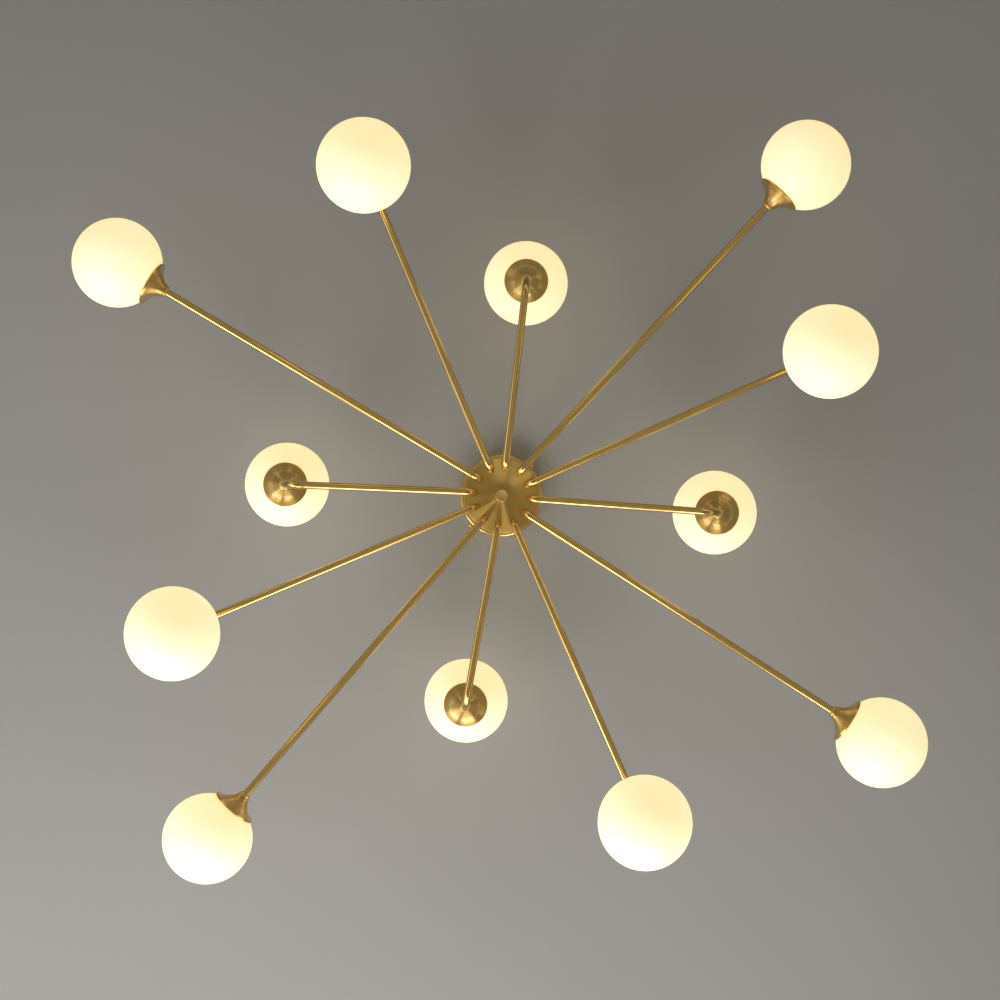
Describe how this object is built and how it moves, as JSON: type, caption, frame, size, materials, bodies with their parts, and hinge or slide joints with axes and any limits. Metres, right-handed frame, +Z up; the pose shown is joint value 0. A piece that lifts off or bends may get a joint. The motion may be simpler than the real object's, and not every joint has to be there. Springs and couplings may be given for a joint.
{
  "type": "sputnik chandelier",
  "caption": "Ceiling chandelier whose brass arms spread like spokes from a flat hub on a stem and carry opal globes in bell cups, facing outwards, down or up.",
  "frame": {"origin": "middle of the ceiling bracket's upper face, on the ceiling and on the stem's axis", "axes": "+Z up into the ceiling, along the stem; +X along the ceiling bracket; everything hangs towards -Z"},
  "size_m": [1.3305, 1.2971, 0.481],
  "materials": {
    "satin_brass": "satin brushed brass",
    "opal_glass": "gloss opal white",
    "zinc_steel": "zinc plated",
    "white_ceramic": "satin white",
    "terminal_plastic": "matt white"
  },
  "bodies": {
    "root": {"ceiling_bracket": "zinc_steel", "earth_screw": "zinc_steel", "terminal_block": "terminal_plastic", "canopy_screws": "satin_brass", "threaded_rod": "zinc_steel", "rod_nuts": "zinc_steel", "stem": "satin_brass", "hub_plate": "satin_brass", "arm_nuts": "zinc_steel"},
    "canopy": {"canopy": "satin_brass"},
    "hub_cover": {"hub_cover": "satin_brass"},
    "finial": {"finial": "satin_brass"},
    "arm_01": {"arm_01": "satin_brass", "cup_01": "satin_brass", "lamp_01": "white_ceramic"},
    "globe_01": {"globe_01": "opal_glass"},
    "arm_02": {"arm_02": "satin_brass", "cup_02": "satin_brass", "lamp_02": "white_ceramic"},
    "globe_02": {"globe_02": "opal_glass"},
    "arm_03": {"arm_03": "satin_brass", "cup_03": "satin_brass", "lamp_03": "white_ceramic"},
    "globe_03": {"globe_03": "opal_glass"},
    "arm_04": {"arm_04": "satin_brass", "cup_04": "satin_brass", "lamp_04": "white_ceramic"},
    "globe_04": {"globe_04": "opal_glass"},
    "arm_05": {"arm_05": "satin_brass", "cup_05": "satin_brass", "lamp_05": "white_ceramic"},
    "globe_05": {"globe_05": "opal_glass"},
    "arm_06": {"arm_06": "satin_brass", "cup_06": "satin_brass", "lamp_06": "white_ceramic"},
    "globe_06": {"globe_06": "opal_glass"},
    "arm_07": {"arm_07": "satin_brass", "cup_07": "satin_brass", "lamp_07": "white_ceramic"},
    "globe_07": {"globe_07": "opal_glass"},
    "arm_08": {"arm_08": "satin_brass", "cup_08": "satin_brass", "lamp_08": "white_ceramic"},
    "globe_08": {"globe_08": "opal_glass"},
    "arm_09": {"arm_09": "satin_brass", "cup_09": "satin_brass", "lamp_09": "white_ceramic"},
    "globe_09": {"globe_09": "opal_glass"},
    "arm_10": {"arm_10": "satin_brass", "cup_10": "satin_brass", "lamp_10": "white_ceramic"},
    "globe_10": {"globe_10": "opal_glass"},
    "arm_11": {"arm_11": "satin_brass", "cup_11": "satin_brass", "lamp_11": "white_ceramic"},
    "globe_11": {"globe_11": "opal_glass"},
    "arm_12": {"arm_12": "satin_brass", "cup_12": "satin_brass", "lamp_12": "white_ceramic"},
    "globe_12": {"globe_12": "opal_glass"}
  },
  "joints": [
    {"name": "canopy_slide", "type": "slide", "parent": "root", "child": "canopy", "axis": [0, 0, -1], "range_m": [0, 0.12]},
    {"name": "hub_cover_lift", "type": "slide", "parent": "root", "child": "hub_cover", "axis": [0, 0, 1], "range_m": [0, 0.06]},
    {"name": "finial_unscrew", "type": "slide", "parent": "root", "child": "finial", "axis": [0, 0, -1], "range_m": [0, 0.012]},
    {"name": "arm_01_swivel", "type": "hinge", "parent": "root", "child": "arm_01", "pos_m": [0.0375, -0.00614, -0.241], "axis": [0, 0, 1], "range_deg": [-10, 10]},
    {"name": "globe_01_unscrew", "type": "slide", "parent": "arm_01", "child": "globe_01", "axis": [0.9934, -0.0922, -0.068], "range_m": [0, 0.05]},
    {"name": "arm_02_swivel", "type": "hinge", "parent": "root", "child": "arm_02", "pos_m": [0.03555, 0.01343, -0.241], "axis": [0, 0, 1], "range_deg": [-10, 10]},
    {"name": "globe_02_unscrew", "type": "slide", "parent": "arm_02", "child": "globe_02", "axis": [-0.0586, -0.0226, -0.998], "range_m": [0, 0.05]},
    {"name": "arm_03_swivel", "type": "hinge", "parent": "root", "child": "arm_03", "pos_m": [0.02407, 0.02941, -0.241], "axis": [0, 0, 1], "range_deg": [-10, 10]},
    {"name": "globe_03_unscrew", "type": "slide", "parent": "arm_03", "child": "globe_03", "axis": [0.0543, 0.0566, 0.9969], "range_m": [0, 0.05]},
    {"name": "arm_04_swivel", "type": "hinge", "parent": "root", "child": "arm_04", "pos_m": [0.00614, 0.0375, -0.241], "axis": [0, 0, 1], "range_deg": [-10, 10]},
    {"name": "globe_04_unscrew", "type": "slide", "parent": "arm_04", "child": "globe_04", "axis": [0.2654, 0.9634, -0.0384], "range_m": [0, 0.05]},
    {"name": "arm_05_swivel", "type": "hinge", "parent": "root", "child": "arm_05", "pos_m": [-0.01343, 0.03555, -0.241], "axis": [0, 0, 1], "range_deg": [-10, 10]},
    {"name": "globe_05_unscrew", "type": "slide", "parent": "arm_05", "child": "globe_05", "axis": [0.0225, -0.0586, -0.998], "range_m": [0, 0.05]},
    {"name": "arm_06_swivel", "type": "hinge", "parent": "root", "child": "arm_06", "pos_m": [-0.02941, 0.02407, -0.241], "axis": [0, 0, 1], "range_deg": [-10, 10]},
    {"name": "globe_06_unscrew", "type": "slide", "parent": "arm_06", "child": "globe_06", "axis": [-0.0537, 0.0446, 0.9976], "range_m": [0, 0.05]},
    {"name": "arm_07_swivel", "type": "hinge", "parent": "root", "child": "arm_07", "pos_m": [-0.0375, 0.00614, -0.241], "axis": [0, 0, 1], "range_deg": [-10, 10]},
    {"name": "globe_07_unscrew", "type": "slide", "parent": "arm_07", "child": "globe_07", "axis": [-0.9977, 0.0558, -0.0384], "range_m": [0, 0.05]},
    {"name": "arm_08_swivel", "type": "hinge", "parent": "root", "child": "arm_08", "pos_m": [-0.03555, -0.01343, -0.241], "axis": [0, 0, 1], "range_deg": [-10, 10]},
    {"name": "globe_08_unscrew", "type": "slide", "parent": "arm_08", "child": "globe_08", "axis": [0.0442, 0.0162, -0.9989], "range_m": [0, 0.05]},
    {"name": "arm_09_swivel", "type": "hinge", "parent": "root", "child": "arm_09", "pos_m": [-0.02407, -0.02941, -0.241], "axis": [0, 0, 1], "range_deg": [-10, 10]},
    {"name": "globe_09_unscrew", "type": "slide", "parent": "arm_09", "child": "globe_09", "axis": [-0.0478, -0.0531, 0.9974], "range_m": [0, 0.05]},
    {"name": "arm_10_swivel", "type": "hinge", "parent": "root", "child": "arm_10", "pos_m": [-0.00614, -0.0375, -0.241], "axis": [0, 0, 1], "range_deg": [-10, 10]},
    {"name": "globe_10_unscrew", "type": "slide", "parent": "arm_10", "child": "globe_10", "axis": [-0.2309, -0.9692, -0.0854], "range_m": [0, 0.05]},
    {"name": "arm_11_swivel", "type": "hinge", "parent": "root", "child": "arm_11", "pos_m": [0.01343, -0.03555, -0.241], "axis": [0, 0, 1], "range_deg": [-10, 10]},
    {"name": "globe_11_unscrew", "type": "slide", "parent": "arm_11", "child": "globe_11", "axis": [-0.0247, 0.0671, -0.9974], "range_m": [0, 0.05]},
    {"name": "arm_12_swivel", "type": "hinge", "parent": "root", "child": "arm_12", "pos_m": [0.02941, -0.02407, -0.241], "axis": [0, 0, 1], "range_deg": [-10, 10]},
    {"name": "globe_12_unscrew", "type": "slide", "parent": "arm_12", "child": "globe_12", "axis": [0.0141, -0.0103, 0.9998], "range_m": [0, 0.05]}
  ]
}
